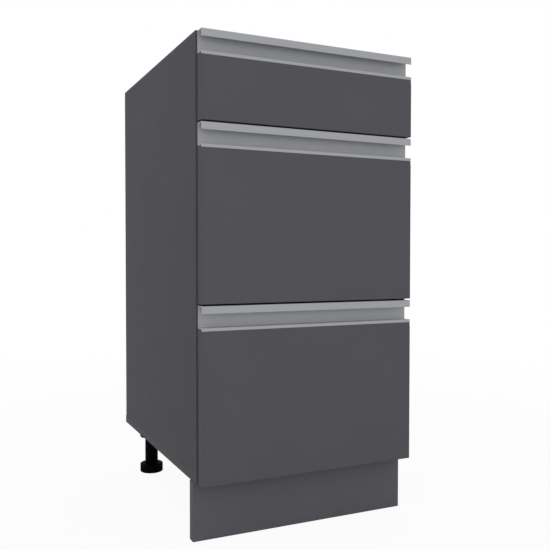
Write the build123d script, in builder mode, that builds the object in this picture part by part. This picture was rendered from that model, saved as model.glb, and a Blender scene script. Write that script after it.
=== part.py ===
from build123d import *
import os

# A kitchen base unit with three drawers, in millimetres.
# +X is the right side seen from the front, -Y is the front and +Z is up.
# The origin is on the floor under the middle of the whole unit.

os.makedirs("parts", exist_ok=True)

# ---------------------------------------------------------------- driving sizes
# Carcass
CARCASS_WIDTH = 400.0
CARCASS_HEIGHT = 720.0
CARCASS_DEPTH = 477.0  # front edge of the sides to the rear of the back panel
BOARD = 16.0
BACK_THICKNESS = 3.0
BACK_INSET = 1.0  # back panel short of the outer faces and of the top
RAIL_WIDTH = 100.0
EDGE_EASE = 0.4  # small chamfer along every board edge
FIT = 0.1  # play of a sheet in its groove and of a part against its seat

# Fronts and handles
FRONT_THICKNESS = 19.0
FRONT_GAP = 1.5  # rear of the fronts to the carcass
FRONT_SIDE_REVEAL = 3.0
FRONT_TOP_REVEAL = 1.5
FRONT_BOTTOM_REVEAL = 0.5
FRONT_SPACING = 3.0
TOP_FRONT_HEIGHT = 141.0
HANDLE_HEIGHT = 39.5
HANDLE_WALL = 1.5
HANDLE_UPPER_LIP = 12.0
HANDLE_LOWER_LIP = 5.0
HANDLE_EDGE = 0.3
HANDLE_BEND = 2.0  # radius of the channel's inner corners at its back wall
TONGUE_DEPTH = 10.0
TONGUE_THICKNESS = 2.0
TONGUE_SETBACK = 11.0  # front face to the middle of the tongue

# Drawer boxes
BOX_BOARD = 12.0
BOX_LIFT = 27.5  # lower edge of a front to the lower edge of its box
SHALLOW_BOX_DROP = 4.0  # lower end of the handle to the top of the box
DEEP_BOX_DROP = 18.5
BOX_OVERHANG = 5.0  # box longer than its runners
GROOVE_RISE = 10.0  # lower edge of the box to the groove for its bottom
GROOVE_DEPTH = 6.0
BOX_BOTTOM = 3.0

# Ball runners: cabinet, intermediate and drawer members, one inside the other
RUNNER_HEIGHT = 45.0
RUNNER_THICKNESS = 12.7
RUNNER_SETBACK = 2.0  # carcass front edge to the members
RUNNER_REAR_SPACE = 22.0  # members to the back panel
RUNNER_LIFT = 37.5  # lower edge of the box to the runner's centre line
STEEL = 1.2
WEB_GAP = 1.8  # web of the cabinet member to web of the intermediate one
MOUTH_GAP = 0.6  # intermediate member to the web of the drawer member
LIP = 1.8
CABINET_LIP_SHORT = 1.0  # cabinet member's lips short of the intermediate member's
DRAWER_LIP_GAP = 0.8  # drawer member's flanges to the intermediate member's web
BALL = 3.0
BALL_PLAY = 0.3
BALLS_PER_STRIP = 4
CAGE_SHARE = 0.46  # length of a ball cage as a share of its runner
CAGE_WIDTH = 4.4
CAGE_THICKNESS = 0.8

# Legs
LEG_HEIGHT = 100.0
LEG_SIDE_INSET = 44.0
LEG_REAR_INSET = 48.5
SOCKET_RADIUS = 24.0
SOCKET_HEIGHT = 25.0
SOCKET_EASE = 1.0
FLANGE_WIDTH = 8.0
FLANGE_THICKNESS = 4.0
TUBE_RADIUS = 13.5
TUBE_WALL = 2.5
FOOT_RADIUS = 24.0
FOOT_HEIGHT = 17.5
FOOT_SOLE_EASE = 1.0
FOOT_TOP_EASE = 2.0
SPIGOT_ENGAGEMENT = 50.0
FOOT_PLAY = 0.3

# Plinth and its clips
PLINTH_SETBACK = 37.5  # faces of the fronts to the face of the plinth
PLINTH_CLEARANCE = 0.5  # floor to the plinth
PLINTH_TOP_GAP = 1.0
FLANGE_GAP = 3.0  # rear of the plinth to the flanges of the front legs
CLIP_PAST_LEG = 9.0
CLIP_PLATE = 3.0
CLIP_WALL = 2.5
CLIP_HEIGHT = 18.0
CLIP_DROP = 4.0  # lower edge of the sockets to the clips
CLIP_WING = 8.5  # plate beside each jaw, for a screw
CLIP_PLAY = 0.2

# Fasteners: radius of shank, radius of head, length
WOOD_SCREW = (1.75, 3.5, 25.0)
HANDLE_SCREW = (1.5, 3.0, 20.0)
SMALL_SCREW = (1.75, 3.2, 11.0)  # length in the board, without what it holds
RUNNER_SCREW = (2.5, 3.6, 11.0)
CONFIRMAT = (2.5, 4.8, 50.0)
NAIL = (0.8, 1.8, 20.0)
HEAD_RIM = 0.3
PAN_HEIGHT = 1.5
RECESS_WIDTH = 0.9
RECESS_DEPTH = 1.0
HEX_DEPTH = 2.0
HOLE_PLAY = 0.05
DOWEL_RADIUS = 4.0
DOWEL_SHALLOW = 12.0
DOWEL_DEEP = 18.0
DOWEL_EASE = 0.8
CAM_RADIUS = 7.5
CAM_DEPTH = 12.5
CAM_REACH = 24.0  # end of a rail to the middle of its cam
CAM_BOLT_RADIUS = 2.2
CAM_HEAD_RADIUS = 3.4
CAM_THREAD = (2.5, 11.0)  # radius, length
CAM_COLLAR = 1.5
CAM_BORE_RADIUS = 4.0
WORKTOP_HOLE_RADIUS = 2.5
WORKTOP_HOLE_SPACING = 200.0

# Where the fasteners sit
CONFIRMAT_SPREAD = 150.0  # confirmats before and behind the middle of the sides
DOWEL_SPREAD = 100.0
CAM_OFFSET = 18.0  # cams in front of a rail's centre line
DOWEL_OFFSET = 22.0  # dowels behind it
SYSTEM_SETBACK = 37.0  # carcass front edge to the first runner screw
SYSTEM_PITCH = 32.0
RUNNER_SCREW_STEPS = (0, 7, 11)
MEMBER_SCREW_INSET = 40.0
CORNER_SCREW_RISE = 25.0
CORNER_SCREW_DROP = 12.0
FRONT_SCREW_SPREAD = 120.0
HANDLE_SCREW_SPREAD = 170.0
HANDLE_SCREW_SETBACK = 5.5
BOTTOM_SCREW_SPREAD = 80.0
NAIL_MARGIN = 30.0
NAILS_PER_SIDE = 8
RAIL_NAIL_SPREAD = 120.0

# ---------------------------------------------------------------- derived places
TOTAL_DEPTH = CARCASS_DEPTH + FRONT_GAP + FRONT_THICKNESS
FRONT_FACE_Y = -TOTAL_DEPTH / 2
BOX_Y = FRONT_FACE_Y + FRONT_THICKNESS
CARCASS_Y = BOX_Y + FRONT_GAP
REAR_Y = TOTAL_DEPTH / 2
BACK_Y = REAR_Y - BACK_THICKNESS
SIDE_X = CARCASS_WIDTH / 2
INNER_X = SIDE_X - BOARD
EDGE_X = SIDE_X - BOARD / 2
PANEL_Z = LEG_HEIGHT + BOARD
TOP_Z = LEG_HEIGHT + CARCASS_HEIGHT
RAIL_Z = TOP_Z - BOARD
RAIL_MIDDLE_Z = TOP_Z - BOARD / 2
CARCASS_MIDDLE_Y = (CARCASS_Y + BACK_Y) / 2
RAIL_MIDDLES_Y = (CARCASS_Y + RAIL_WIDTH / 2, BACK_Y - RAIL_WIDTH / 2)
SIDES = (-1, 1)

FRONT_X = SIDE_X - FRONT_SIDE_REVEAL
FRONT_STACK = CARCASS_HEIGHT - FRONT_TOP_REVEAL - FRONT_BOTTOM_REVEAL - 2 * FRONT_SPACING
DEEP_FRONT_HEIGHT = (FRONT_STACK - TOP_FRONT_HEIGHT) / 2
HANDLE_SEAT = HANDLE_LOWER_LIP - HANDLE_WALL

BOX_X = INNER_X - RUNNER_THICKNESS
BOX_INNER_X = BOX_X - BOX_BOARD
RUNNER_Y = CARCASS_Y + RUNNER_SETBACK
RUNNER_LENGTH = BACK_Y - RUNNER_REAR_SPACE - RUNNER_Y
BOX_REAR_Y = BOX_Y + RUNNER_LENGTH + BOX_OVERHANG

# Runner sections are measured from the side panel's inner face towards the drawer.
MEMBER_STEP = STEEL + BALL + 2 * BALL_PLAY
CABINET_HALF = RUNNER_HEIGHT / 2
MIDDLE_HALF = CABINET_HALF - MEMBER_STEP
DRAWER_HALF = MIDDLE_HALF - MEMBER_STEP
MIDDLE_WEB = STEEL + WEB_GAP
MIDDLE_MOUTH = RUNNER_THICKNESS - STEEL - MOUTH_GAP
CABINET_MOUTH = MIDDLE_MOUTH - CABINET_LIP_SHORT
DRAWER_MOUTH = MIDDLE_WEB + STEEL + DRAWER_LIP_GAP
OUTER_CAGE = CABINET_MOUTH - STEEL - BALL_PLAY - CAGE_WIDTH / 2
INNER_CAGE = MIDDLE_MOUTH - STEEL - BALL_PLAY - CAGE_WIDTH / 2
OUTER_RACE = CABINET_HALF - STEEL - BALL_PLAY - BALL / 2
INNER_RACE = MIDDLE_HALF - STEEL - BALL_PLAY - BALL / 2

PLINTH_Y = FRONT_FACE_Y + PLINTH_SETBACK
PLINTH_REAR_Y = PLINTH_Y + BOARD
FLANGE_RADIUS = SOCKET_RADIUS + FLANGE_WIDTH
FLANGE_SCREW_RADIUS = SOCKET_RADIUS + FLANGE_WIDTH / 2
LEG_X = SIDE_X - LEG_SIDE_INSET
FRONT_LEG_Y = PLINTH_REAR_Y + FLANGE_GAP + FLANGE_RADIUS
REAR_LEG_Y = REAR_Y - LEG_REAR_INSET
LEGS = {
    "front_left": (-LEG_X, FRONT_LEG_Y),
    "front_right": (LEG_X, FRONT_LEG_Y),
    "rear_left": (-LEG_X, REAR_LEG_Y),
    "rear_right": (LEG_X, REAR_LEG_Y),
}


# ---------------------------------------------------------------- shared operations
def slab(low, high, mode=Mode.ADD):
    """A block between two opposite corners, in the part being made."""
    size = [b - a for a, b in zip(low, high)]
    with Locations(tuple((a + b) / 2 for a, b in zip(low, high))):
        Box(*size, mode=mode)


def turned(outline):
    """A solid turned about Z from a half outline of (radius, height) points."""
    with BuildSketch(Plane.XZ) as half:
        with BuildLine():
            Polyline(*outline, close=True)
        make_face()
    revolve(half.sketch, axis=Axis.Z)


def drill(tool, spots):
    """Cut the tool's shape at each spot out of the part being made."""
    with Locations(*spots):
        add(tool.part, mode=Mode.SUBTRACT)


def cross_recess(top):
    """A cross slot for a screwdriver, below the height top."""
    with Locations((0, 0, top - RECESS_DEPTH / 2)):
        Box(3 * RECESS_WIDTH, RECESS_WIDTH, RECESS_DEPTH, mode=Mode.SUBTRACT)
        Box(RECESS_WIDTH, 3 * RECESS_WIDTH, RECESS_DEPTH, mode=Mode.SUBTRACT)


def save(piece, name):
    """Label a finished piece and write it."""
    piece.part.label = name
    export_step(piece.part, f"parts/{name}.step")


def places(direction, points):
    """Planes at the points, each facing the way its fastener's head does."""
    return [Plane(origin=point, z_dir=direction) for point in points]


# ---------------------------------------------------------------- fastener outlines
# Each fastener stands on its own axis: the face of a countersunk head, or the underside of a
# pan head, is at height 0, and the shank points down. Play widens an outline into its hole.
def countersunk(size, play=0.0):
    radius, head, length = size
    shank = radius + play
    cone = head - radius
    return [
        (0, 0),
        (head + play, 0),
        (head + play, -HEAD_RIM),
        (shank, -HEAD_RIM - cone),
        (shank, -length + radius),
        (0, -length - play),
    ]


def pan_headed(size, held):
    radius, head, length = size
    reach = held + length
    return [
        (0, PAN_HEIGHT),
        (head - HEAD_RIM, PAN_HEIGHT),
        (head, PAN_HEIGHT - HEAD_RIM),
        (head, 0),
        (radius, 0),
        (radius, -reach + radius),
        (0, -reach),
    ]


def plain_hole(size, held):
    radius, _, length = size
    wall = radius + HOLE_PLAY
    depth = held + length + HOLE_PLAY
    return [(0, 0), (wall, 0), (wall, -depth), (0, -depth)]


def peg(play=0.0):
    radius = DOWEL_RADIUS + play
    top = DOWEL_DEEP + play
    bottom = -DOWEL_SHALLOW - play
    return [
        (0, top),
        (radius - DOWEL_EASE, top),
        (radius, top - DOWEL_EASE),
        (radius, bottom + DOWEL_EASE),
        (radius - DOWEL_EASE, bottom),
        (0, bottom),
    ]


with BuildPart() as wood_screw:
    turned(countersunk(WOOD_SCREW))
    cross_recess(0)
with BuildPart() as wood_screw_hole:
    turned(countersunk(WOOD_SCREW, HOLE_PLAY))
with BuildPart() as handle_screw:
    turned(countersunk(HANDLE_SCREW))
    cross_recess(0)
with BuildPart() as handle_screw_hole:
    turned(countersunk(HANDLE_SCREW, HOLE_PLAY))
with BuildPart() as confirmat:
    turned(countersunk(CONFIRMAT))
    with BuildSketch(Plane.XY.offset(-HEX_DEPTH)):
        RegularPolygon(radius=CONFIRMAT[0], side_count=6)
    extrude(amount=HEX_DEPTH, mode=Mode.SUBTRACT)
with BuildPart() as confirmat_hole:
    turned(countersunk(CONFIRMAT, HOLE_PLAY))
with BuildPart() as nail:
    turned(countersunk(NAIL))
with BuildPart() as nail_hole:
    turned(countersunk(NAIL, HOLE_PLAY))
with BuildPart() as cabinet_screw:
    turned(pan_headed(RUNNER_SCREW, STEEL))
    cross_recess(PAN_HEIGHT)
with BuildPart() as cabinet_screw_hole:
    turned(plain_hole(RUNNER_SCREW, STEEL))
with BuildPart() as member_screw:
    turned(pan_headed(SMALL_SCREW, 0))
    cross_recess(PAN_HEIGHT)
with BuildPart() as member_screw_hole:
    turned(plain_hole(SMALL_SCREW, 0))
with BuildPart() as flange_screw:
    turned(pan_headed(SMALL_SCREW, FLANGE_THICKNESS))
    cross_recess(PAN_HEIGHT)
with BuildPart() as flange_screw_hole:
    turned(plain_hole(SMALL_SCREW, FLANGE_THICKNESS))
with BuildPart() as clip_screw:
    turned(pan_headed(SMALL_SCREW, CLIP_PLATE))
    cross_recess(PAN_HEIGHT)
with BuildPart() as clip_screw_hole:
    turned(plain_hole(SMALL_SCREW, CLIP_PLATE))
with BuildPart() as dowel:
    turned(peg())
with BuildPart() as dowel_hole:
    turned(peg(HOLE_PLAY))

# A cam fitting is a bolt in the side panel and a disc in the rail. The bolt's place is the
# joint face, with the rail above it. The disc's place is the rail's underside.
with BuildPart() as cam_bolt:
    turned(
        [
            (0, -CAM_THREAD[1]),
            (CAM_THREAD[0], -CAM_THREAD[1]),
            (CAM_THREAD[0], 0),
            (CAM_BORE_RADIUS - FIT, 0),
            (CAM_BORE_RADIUS - FIT, CAM_COLLAR),
            (CAM_BOLT_RADIUS, CAM_COLLAR),
            (CAM_BOLT_RADIUS, CAM_REACH - CAM_HEAD_RADIUS),
            (CAM_HEAD_RADIUS, CAM_REACH - CAM_HEAD_RADIUS / 2),
            (CAM_HEAD_RADIUS, CAM_REACH + CAM_HEAD_RADIUS / 2),
            (0, CAM_REACH + CAM_HEAD_RADIUS),
        ]
    )
with BuildPart() as cam_bolt_hole:
    turned(plain_hole((CAM_THREAD[0], 0, CAM_THREAD[1]), 0))
with BuildPart() as cam_bore:
    turned([(0, 0), (CAM_BORE_RADIUS, 0), (CAM_BORE_RADIUS, CAM_REACH), (0, CAM_REACH)])
with BuildPart() as cam_disc:
    turned([(0, 0), (CAM_RADIUS, 0), (CAM_RADIUS, -CAM_DEPTH), (0, -CAM_DEPTH)])
    with Locations((0, 0, -BOARD / 2)):
        Cylinder(CAM_HEAD_RADIUS + FIT, 2 * CAM_RADIUS, rotation=(0, 90, 0), mode=Mode.SUBTRACT)
    cross_recess(0)
with BuildPart() as cam_pocket:
    turned(plain_hole((CAM_RADIUS, 0, CAM_DEPTH), 0))

# ---------------------------------------------------------------- fastener places
DOWN = (0, 0, -1)
UP = (0, 0, 1)
FORWARD = (0, -1, 0)
REARWARD = (0, 1, 0)

confirmat_places = places(
    DOWN,
    [
        (side * EDGE_X, CARCASS_MIDDLE_Y + step * CONFIRMAT_SPREAD, LEG_HEIGHT)
        for side in SIDES
        for step in SIDES
    ],
)
foot_dowel_places = places(
    UP,
    [
        (side * EDGE_X, CARCASS_MIDDLE_Y + step * DOWEL_SPREAD, PANEL_Z)
        for side in SIDES
        for step in SIDES
    ],
)
rail_dowel_places = []
cam_bolt_places = []
for side in SIDES:
    for rail_y in RAIL_MIDDLES_Y:
        rail_dowel_places += places(
            (-side, 0, 0), [(side * INNER_X, rail_y + DOWEL_OFFSET, RAIL_MIDDLE_Z)]
        )
        cam_bolt_places += places(
            (-side, 0, 0), [(side * INNER_X, rail_y - CAM_OFFSET, RAIL_MIDDLE_Z)]
        )
cam_disc_places = [
    Plane(origin=(side * (INNER_X - CAM_REACH), rail_y - CAM_OFFSET, RAIL_Z), x_dir=(1, 0, 0), z_dir=DOWN)
    for side in SIDES
    for rail_y in RAIL_MIDDLES_Y
]
nail_step = (TOP_Z - PANEL_Z - 2 * NAIL_MARGIN) / (NAILS_PER_SIDE - 1)
side_nail_places = places(
    REARWARD,
    [
        (side * EDGE_X, REAR_Y, PANEL_Z + NAIL_MARGIN + step * nail_step)
        for side in SIDES
        for step in range(NAILS_PER_SIDE)
    ],
)
rail_nail_places = places(
    REARWARD, [(step * RAIL_NAIL_SPREAD, REAR_Y, RAIL_MIDDLE_Z) for step in (-1, 0, 1)]
)
worktop_holes = [
    (side * WORKTOP_HOLE_SPACING / 2, rail_y, TOP_Z) for side in SIDES for rail_y in RAIL_MIDDLES_Y
]
flange_screw_places = []
for leg_x, leg_y in LEGS.values():
    for around in PolarLocations(FLANGE_SCREW_RADIUS, 4, start_angle=45).local_locations:
        spot = around.position
        flange_screw_places += places(
            DOWN, [(leg_x + spot.X, leg_y + spot.Y, LEG_HEIGHT - FLANGE_THICKNESS)]
        )

# ---------------------------------------------------------------- drawers, from the top down
DRAWERS = []
front_top = TOP_Z - FRONT_TOP_REVEAL
for drawer_name, height, drop in (
    ("top", TOP_FRONT_HEIGHT, SHALLOW_BOX_DROP),
    ("middle", DEEP_FRONT_HEIGHT, DEEP_BOX_DROP),
    ("bottom", DEEP_FRONT_HEIGHT, DEEP_BOX_DROP),
):
    board_top = front_top - HANDLE_HEIGHT + HANDLE_SEAT
    DRAWERS.append(
        {
            "name": drawer_name,
            "low": front_top - height,
            "high": front_top,
            "seat": board_top,
            "box_low": front_top - height + BOX_LIFT,
            "box_high": front_top - HANDLE_HEIGHT - drop,
        }
    )
    front_top -= height + FRONT_SPACING


def runner_z(drawer):
    """Height of the drawer's runner centre line."""
    return drawer["box_low"] + RUNNER_LIFT


def cabinet_screw_places(drawer, side):
    return places(
        (-side, 0, 0),
        [
            (side * (INNER_X - STEEL), CARCASS_Y + SYSTEM_SETBACK + step * SYSTEM_PITCH, runner_z(drawer))
            for step in RUNNER_SCREW_STEPS
        ],
    )


def member_screw_places(drawer, side):
    ends = (RUNNER_Y + MEMBER_SCREW_INSET, RUNNER_Y + RUNNER_LENGTH - MEMBER_SCREW_INSET)
    return places(
        (side, 0, 0),
        [(side * (BOX_X + STEEL), y, runner_z(drawer)) for y in (ends[0], sum(ends) / 2, ends[1])],
    )


def corner_screw_places(drawer, side):
    heights = (drawer["box_low"] + CORNER_SCREW_RISE, drawer["box_high"] - CORNER_SCREW_DROP)
    depths = (BOX_Y + BOX_BOARD / 2, BOX_REAR_Y - BOX_BOARD / 2)
    return places((side, 0, 0), [(side * BOX_X, y, z) for y in depths for z in heights])


def front_screw_places(drawer):
    heights = (drawer["box_low"] + CORNER_SCREW_RISE, drawer["box_high"] - CORNER_SCREW_DROP)
    return places(
        REARWARD, [(side * FRONT_SCREW_SPREAD, BOX_Y + BOX_BOARD, z) for side in SIDES for z in heights]
    )


def handle_screw_places(drawer):
    y = FRONT_FACE_Y + HANDLE_SCREW_SETBACK
    z = drawer["seat"] + HANDLE_WALL
    return places(UP, [(step * HANDLE_SCREW_SPREAD, y, z) for step in (-1, 0, 1)])


def bottom_screw_places(drawer):
    y = BOX_REAR_Y - BOX_BOARD / 2
    z = drawer["box_low"] + GROOVE_RISE + FIT
    return places(DOWN, [(side * BOTTOM_SCREW_SPREAD, y, z) for side in SIDES])


# ---------------------------------------------------------------- carcass
for side, side_name in zip(SIDES, ("left", "right")):
    inner, outer = side * INNER_X, side * SIDE_X
    with BuildPart() as side_panel:
        slab((min(inner, outer), CARCASS_Y, PANEL_Z), (max(inner, outer), BACK_Y, TOP_Z))
        chamfer(side_panel.edges(), EDGE_EASE)
        drill(confirmat_hole, confirmat_places)
        drill(dowel_hole, foot_dowel_places + rail_dowel_places)
        drill(cam_bolt_hole, cam_bolt_places)
        drill(nail_hole, side_nail_places)
        for drawer in DRAWERS:
            drill(cabinet_screw_hole, cabinet_screw_places(drawer, side))
    save(side_panel, f"side_panel_{side_name}")

with BuildPart() as bottom_panel:
    slab((-SIDE_X, CARCASS_Y, LEG_HEIGHT), (SIDE_X, REAR_Y, PANEL_Z))
    chamfer(bottom_panel.edges(), EDGE_EASE)
    drill(confirmat_hole, confirmat_places)
    drill(dowel_hole, foot_dowel_places)
    drill(flange_screw_hole, flange_screw_places)
save(bottom_panel, "bottom_panel")

for rail_y, rail_name in zip(RAIL_MIDDLES_Y, ("front", "rear")):
    with BuildPart() as top_rail:
        slab((-INNER_X, rail_y - RAIL_WIDTH / 2, RAIL_Z), (INNER_X, rail_y + RAIL_WIDTH / 2, TOP_Z))
        chamfer(top_rail.edges(), EDGE_EASE)
        drill(dowel_hole, rail_dowel_places)
        drill(cam_bore, cam_bolt_places)
        drill(cam_pocket, cam_disc_places)
        drill(nail_hole, rail_nail_places)
        with Locations(*worktop_holes):
            Hole(WORKTOP_HOLE_RADIUS, depth=BOARD)
    save(top_rail, f"top_rail_{rail_name}")

with BuildPart() as back_panel:
    slab((-SIDE_X + BACK_INSET, BACK_Y, PANEL_Z), (SIDE_X - BACK_INSET, REAR_Y, TOP_Z - BACK_INSET))
    drill(nail_hole, side_nail_places + rail_nail_places)
save(back_panel, "back_panel")

with BuildPart() as carcass_dowels:
    with Locations(*foot_dowel_places, *rail_dowel_places):
        add(dowel.part)
save(carcass_dowels, "carcass_dowels")

with BuildPart() as carcass_screws:
    with Locations(*confirmat_places):
        add(confirmat.part)
save(carcass_screws, "carcass_screws")

with BuildPart() as cam_fittings:
    with Locations(*cam_bolt_places):
        add(cam_bolt.part)
    with Locations(*cam_disc_places):
        add(cam_disc.part)
save(cam_fittings, "cam_fittings")

with BuildPart() as back_panel_nails:
    with Locations(*side_nail_places, *rail_nail_places):
        add(nail.part)
save(back_panel_nails, "back_panel_nails")

# ---------------------------------------------------------------- legs
FLANGE_Z = LEG_HEIGHT - FLANGE_THICKNESS
with BuildPart() as socket:
    turned(
        [
            (0, LEG_HEIGHT),
            (FLANGE_RADIUS, LEG_HEIGHT),
            (FLANGE_RADIUS, FLANGE_Z),
            (SOCKET_RADIUS, FLANGE_Z),
            (SOCKET_RADIUS, LEG_HEIGHT - SOCKET_HEIGHT),
            (TUBE_RADIUS + FIT, LEG_HEIGHT - SOCKET_HEIGHT),
            (TUBE_RADIUS + FIT, FLANGE_Z),
            (0, FLANGE_Z),
        ]
    )
    rim = socket.edges().filter_by(GeomType.CIRCLE).group_by(Axis.Z)[0].sort_by(SortBy.RADIUS)[-1]
    chamfer(rim, SOCKET_EASE)
with BuildPart() as tube:
    tube_low, tube_high = FOOT_HEIGHT + FOOT_PLAY, FLANGE_Z - FOOT_PLAY
    bore = TUBE_RADIUS - TUBE_WALL
    turned([(bore, tube_low), (TUBE_RADIUS, tube_low), (TUBE_RADIUS, tube_high), (bore, tube_high)])
with BuildPart() as foot:
    spigot = TUBE_RADIUS - TUBE_WALL - FOOT_PLAY
    turned(
        [
            (0, 0),
            (FOOT_RADIUS, 0),
            (FOOT_RADIUS, FOOT_HEIGHT),
            (spigot, FOOT_HEIGHT),
            (spigot, FOOT_HEIGHT + SPIGOT_ENGAGEMENT),
            (0, FOOT_HEIGHT + SPIGOT_ENGAGEMENT),
        ]
    )
    sole = foot.edges().filter_by(GeomType.CIRCLE).sort_by(Axis.Z)[0]
    chamfer(sole, FOOT_SOLE_EASE)
    shoulder = foot.edges().filter_by(GeomType.CIRCLE).filter_by_position(Axis.Z, FOOT_HEIGHT, FOOT_HEIGHT)
    fillet(shoulder.sort_by(SortBy.RADIUS)[-1], FOOT_TOP_EASE)

with BuildPart() as leg_sockets:
    with Locations(*[(x, y, 0) for x, y in LEGS.values()]):
        add(socket.part)
    drill(flange_screw_hole, flange_screw_places)
save(leg_sockets, "leg_sockets")

with BuildPart() as leg_tubes:
    with Locations(*[(x, y, 0) for x, y in LEGS.values()]):
        add(tube.part)
save(leg_tubes, "leg_tubes")

with BuildPart() as leg_socket_screws:
    with Locations(*flange_screw_places):
        add(flange_screw.part)
save(leg_socket_screws, "leg_socket_screws")

for leg_name, (leg_x, leg_y) in LEGS.items():
    with BuildPart() as leg_foot:
        with Locations((leg_x, leg_y, 0)):
            add(foot.part)
    save(leg_foot, f"leg_foot_{leg_name}")

# ---------------------------------------------------------------- plinth
CLIP_RISE = LEG_HEIGHT - SOCKET_HEIGHT - CLIP_DROP - CLIP_HEIGHT / 2
JAW_X = TUBE_RADIUS + CLIP_PLAY
WING_X = JAW_X + CLIP_WALL + CLIP_WING
clip_screw_places = places(
    REARWARD,
    [
        (x + side * (WING_X - CLIP_WING / 2), PLINTH_REAR_Y + CLIP_PLATE, CLIP_RISE)
        for x in (-LEG_X, LEG_X)
        for side in SIDES
    ],
)

with BuildPart() as plinth_panel:
    slab((-SIDE_X, PLINTH_Y, PLINTH_CLEARANCE), (SIDE_X, PLINTH_REAR_Y, LEG_HEIGHT - PLINTH_TOP_GAP))
    chamfer(plinth_panel.edges(), EDGE_EASE)
    drill(clip_screw_hole, clip_screw_places)
save(plinth_panel, "plinth_panel")

with BuildPart() as plinth_clips:
    clip_low, clip_high = CLIP_RISE - CLIP_HEIGHT / 2, CLIP_RISE + CLIP_HEIGHT / 2
    for x in (-LEG_X, LEG_X):
        slab((x - WING_X, PLINTH_REAR_Y, clip_low), (x + WING_X, PLINTH_REAR_Y + CLIP_PLATE, clip_high))
        for side in SIDES:
            near, far = x + side * JAW_X, x + side * (JAW_X + CLIP_WALL)
            slab(
                (min(near, far), PLINTH_REAR_Y + CLIP_PLATE, clip_low),
                (max(near, far), FRONT_LEG_Y + CLIP_PAST_LEG, clip_high),
            )
    drill(clip_screw_hole, clip_screw_places)
save(plinth_clips, "plinth_clips")

with BuildPart() as plinth_clip_screws:
    with Locations(*clip_screw_places):
        add(clip_screw.part)
save(plinth_clip_screws, "plinth_clip_screws")


# ---------------------------------------------------------------- runners
def channel(web, mouth, half, lip, drawer):
    """The left side's steel channel, from its web to its open mouth, along the runner."""
    turn = 1 if mouth > web else -1
    inside = web + turn * STEEL
    inner_end = mouth - turn * (STEEL if lip else 0)
    with BuildSketch(Plane.XZ.offset(-RUNNER_Y)) as section:
        with Locations((-INNER_X + (web + mouth) / 2, runner_z(drawer))):
            Rectangle(abs(mouth - web), 2 * half)
        with Locations((-INNER_X + (inside + inner_end) / 2, runner_z(drawer))):
            Rectangle(abs(inner_end - inside), 2 * (half - STEEL), mode=Mode.SUBTRACT)
        with Locations((-INNER_X + (inside + mouth) / 2, runner_z(drawer))):
            Rectangle(abs(mouth - inside), 2 * (half - STEEL - lip), mode=Mode.SUBTRACT)
    extrude(section.sketch, amount=-RUNNER_LENGTH)


def ball_cage(race, centre, drawer):
    """Upper and lower cage strips of a runner, with their balls loose in the holes, both sides."""
    length = CAGE_SHARE * RUNNER_LENGTH
    middle_y = RUNNER_Y + RUNNER_LENGTH / 2
    pitch = length / BALLS_PER_STRIP
    rows = [
        (side * (INNER_X - centre), middle_y, runner_z(drawer) + level * race)
        for side in SIDES
        for level in SIDES
    ]
    with Locations(*rows):
        Box(CAGE_WIDTH, length, CAGE_THICKNESS)
        with GridLocations(0, pitch, 1, BALLS_PER_STRIP):
            Cylinder(BALL / 2 + BALL_PLAY / 2, CAGE_THICKNESS, mode=Mode.SUBTRACT)
            Sphere(BALL / 2)


for drawer in DRAWERS:
    name = drawer["name"]
    with BuildPart() as runner_cabinet:
        channel(0, CABINET_MOUTH, CABINET_HALF, LIP, drawer)
        mirror(about=Plane.YZ)
        for side in SIDES:
            drill(cabinet_screw_hole, cabinet_screw_places(drawer, side))
    save(runner_cabinet, f"runner_cabinet_members_{name}")

    with BuildPart() as runner_middle:
        channel(MIDDLE_WEB, MIDDLE_MOUTH, MIDDLE_HALF, LIP, drawer)
        mirror(about=Plane.YZ)
    save(runner_middle, f"runner_middle_members_{name}")

    with BuildPart() as runner_drawer:
        channel(RUNNER_THICKNESS, DRAWER_MOUTH, DRAWER_HALF, 0, drawer)
        mirror(about=Plane.YZ)
        for side in SIDES:
            drill(member_screw_hole, member_screw_places(drawer, side))
    save(runner_drawer, f"runner_drawer_members_{name}")

    with BuildPart() as outer_cages:
        ball_cage(OUTER_RACE, OUTER_CAGE, drawer)
    save(outer_cages, f"ball_cages_outer_{name}")

    with BuildPart() as inner_cages:
        ball_cage(INNER_RACE, INNER_CAGE, drawer)
    save(inner_cages, f"ball_cages_inner_{name}")

with BuildPart() as runner_cabinet_screws:
    for drawer in DRAWERS:
        for side in SIDES:
            with Locations(*cabinet_screw_places(drawer, side)):
                add(cabinet_screw.part)
save(runner_cabinet_screws, "runner_cabinet_screws")

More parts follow.
